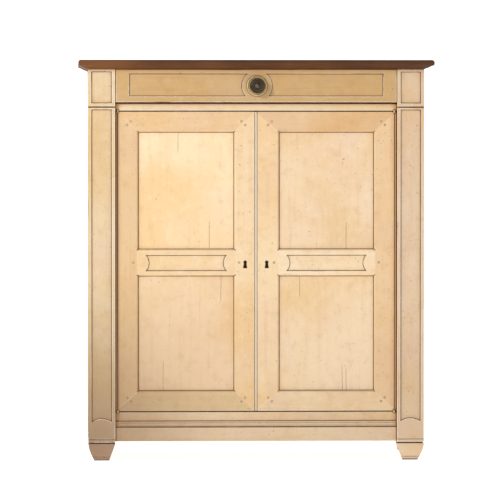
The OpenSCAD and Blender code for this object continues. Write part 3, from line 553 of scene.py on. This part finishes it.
def stand_in(name, mesh, node):
    """An object of the scene that stands for a CAD node and rides on its body."""
    piece = bpy.data.objects.new(name, mesh)
    bpy.context.scene.collection.objects.link(piece)
    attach(piece, body_name(node))
    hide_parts(node)
    return piece


PANEL_CRACKS = {
    "left_upper_panel": [(0.42, "top", 0.20), (0.73, "bottom", 0.26)],
    "left_lower_panel": [(0.846, "top", 0.25), (0.27, "bottom", 0.28)],
    "right_upper_panel": [(0.70, "bottom", 0.25)],
    "right_lower_panel": [(0.233, "top", 0.21), (0.66, "bottom", 0.25), (0.70, "bottom", 0.22)],
}
for panel, cracks in PANEL_CRACKS.items():
    piece = stand_in(panel + "_split", panel_mesh(panel, cracks), panel)
    piece.data.materials.append(materials[panel])


# ---- Turned drawer pull ----

def bead(outer, inner, base, rise, steps=8):
    """Points of a rounded ring between two radii, from the outer one to the inner one."""
    middle = (outer + inner) / 2
    half = (outer - inner) / 2
    angles = [math.pi * i / steps for i in range(steps + 1)]
    return [(middle + half * math.cos(angle), base + rise * math.sin(angle)) for angle in angles]


def turned(name, profile, centre, steps=128):
    """A solid turned about an axis towards the front; the profile is (radius, height) in mm.

    A profile that begins and ends on the axis closes itself. Any other leaves its bore without a wall.
    """
    made = bmesh.new()
    rings = []
    for radius, height in profile:
        y = centre.y - height * MM
        if radius == 0:
            rings.append([made.verts.new((centre.x, y, centre.z))])
            continue
        ring = []
        for i in range(steps):
            angle = 2 * math.pi * i / steps
            x = centre.x + radius * MM * math.cos(angle)
            ring.append(made.verts.new((x, y, centre.z + radius * MM * math.sin(angle))))
        rings.append(ring)
    for first, second in zip(rings, rings[1:]):
        for i in range(steps):
            j = (i + 1) % steps
            corners = [first[i % len(first)], first[j % len(first)]]
            corners += [second[j % len(second)], second[i % len(second)]]
            made.faces.new(list(dict.fromkeys(corners)))
    bmesh.ops.recalc_face_normals(made, faces=made.faces)
    mesh = bpy.data.meshes.new(name)
    made.to_mesh(mesh)
    made.free()
    for face in mesh.polygons:
        face.use_smooth = True
    mesh.set_sharp_from_angle(angle=math.radians(38))
    return mesh


knob_low, knob_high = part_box("drawer_knob")
rosette_low, rosette_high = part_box("knob_rosette")
pull_centre = Vector(((knob_low.x + knob_high.x) / 2, rosette_high.y, (knob_low.z + knob_high.z) / 2))

# From here to the meshes, in mm: radii, and heights in front of the drawer
knob_h = (rosette_high.y - knob_low.y) / MM
head_r = (knob_high.x - knob_low.x) / 2 / MM
rosette_r = (rosette_high.x - rosette_low.x) / 2 / MM
rosette_t = (rosette_high.y - rosette_low.y) / MM
bore_r = 2.7
bore_top = 22
foot_r = 12.5
neck_r = 9.0
face_h = knob_h - 4.2

knob_bore = [(0, bore_top), (bore_r, bore_top), (bore_r, rosette_t)]
knob_foot = [(foot_r, rosette_t), (foot_r, rosette_t + 1), (10.4, rosette_t + 3), (9.2, rosette_t + 6)]
knob_neck = [(neck_r, knob_h - 17), (11.5, knob_h - 13.5), (17, knob_h - 11.2)]
knob_rim = [
    (head_r - 2, knob_h - 9.5),
    (head_r - 0.4, knob_h - 8),
    (head_r, knob_h - 6.2),
    (head_r - 0.3, knob_h - 4.2),
    (head_r - 1.2, knob_h - 2.4),
    (head_r - 2.6, knob_h - 1.8),
    (head_r - 3.6, knob_h - 2.6),
]
knob_rings = (
    bead(head_r - 4, head_r - 7.6, face_h, 2.2)
    + bead(head_r - 8.4, head_r - 12, face_h - 0.4, 2.0)
    + bead(head_r - 12.8, head_r - 16, face_h - 0.6, 1.9)
)
knob_button = [(8.8, face_h), (7.2, knob_h - 1.6), (4.2, knob_h - 0.4), (2.0, knob_h), (0, knob_h)]
knob_profile = knob_bore + knob_foot + knob_neck + knob_rim + knob_rings + knob_button

rosette_edge = [(bore_r, 0), (rosette_r, 0), (rosette_r, 1.2), (rosette_r - 0.8, 1.6)]
rosette_ring = bead(rosette_r - 1.0, rosette_r - 5.6, 1.6, 2.3, 12)
rosette_dish = [(rosette_r - 6.2, 1.5), (rosette_r - 9, 1.7), (rosette_r - 12, 2.6)]
rosette_seat = [(rosette_r - 15, rosette_t), (bore_r, rosette_t)]
rosette_profile = rosette_edge + rosette_ring + rosette_dish + rosette_seat

knob_mesh = turned("turned_knob", knob_profile, pull_centre)
knob = stand_in("turned_knob", knob_mesh, "drawer_knob")
knob.data.materials.append(bronze)
rosette_mesh = turned("turned_rosette", rosette_profile, pull_centre)
rosette = stand_in("turned_rosette", rosette_mesh, "knob_rosette")
rosette.data.materials.append(brass)


# ---- Floor, backdrop, light and camera ----

def sweep_material():
    """White paper that glows a little, so that it stays pale round the armoire."""
    s = Shader("sweep")
    s.bsdf.inputs["Emission Color"].default_value = (1, 1, 1, 1)
    s.bsdf.inputs["Emission Strength"].default_value = 0.84
    return s.finish((0.72, 0.72, 0.72, 1.0), 0.9)


def studio():
    """A pale floor that bends up to a wall, which stands behind even a camera at the back."""
    floor_half = 20.0
    back = 15.5
    bend = 1.2
    wall_h = 9.0
    angles = [math.radians(10 * i) for i in range(1, 10)]
    profile = [(-floor_half, 0.0), (back, 0.0)]
    profile += [(back + bend * math.sin(angle), bend * (1 - math.cos(angle))) for angle in angles]
    profile += [(back + bend, wall_h)]
    mesh = bpy.data.meshes.new("sweep")
    corners = [(side * floor_half, y, z) for y, z in profile for side in (-1, 1)]
    faces = [(2 * i, 2 * i + 1, 2 * i + 3, 2 * i + 2) for i in range(len(profile) - 1)]
    mesh.from_pydata(corners, [], faces)
    for face in mesh.polygons:
        face.use_smooth = True
    sweep = bpy.data.objects.new("sweep", mesh)
    bpy.context.scene.collection.objects.link(sweep)
    sweep.data.materials.append(sweep_material())


def area_light(name, place, target, size, power, color=(1, 1, 1)):
    """A rectangular light at a place, turned to a target; the size in metres, the power in watts."""
    light = bpy.data.lights.new(name, "AREA")
    light.shape = "RECTANGLE"
    light.size, light.size_y = size
    light.energy = power
    light.color = color
    lamp = bpy.data.objects.new(name, light)
    lamp.location = place
    lamp.rotation_euler = (Vector(target) - Vector(place)).to_track_quat("-Z", "Y").to_euler()
    bpy.context.scene.collection.objects.link(lamp)


studio()
area_light("key", (-3.3, -3.6, 3.2), (0, 0, 0.7), (0.7, 0.9), 134, (1.0, 0.985, 0.96))
area_light("fill", (3.2, -4.0, 1.6), (0, 0, 0.7), (2.6, 2.6), 16)
area_light("overhead", (0, -1.5, 4.2), (0, 0, 0.4), (4.0, 4.0), 24)
world = bpy.data.worlds.new("white_room")
world.use_nodes = True
surroundings = world.node_tree.nodes["Background"]
surroundings.inputs["Color"].default_value = (1, 1, 1, 1)
surroundings.inputs["Strength"].default_value = 0.27
bpy.context.scene.world = world
bpy.context.scene.view_settings.view_transform = "Standard"

# A long lens from far off, a little left of the middle and above it, as the front is seen
camera_data = bpy.data.cameras.new("camera")
camera_data.lens = 305.7
camera_data.sensor_width = 36
camera = bpy.data.objects.new("camera", camera_data)
camera.location = (-0.6025, -14.243, 1.048)
camera.rotation_euler = (math.radians(88.562), 0, math.radians(-2.378))
bpy.context.scene.collection.objects.link(camera)
bpy.context.scene.camera = camera
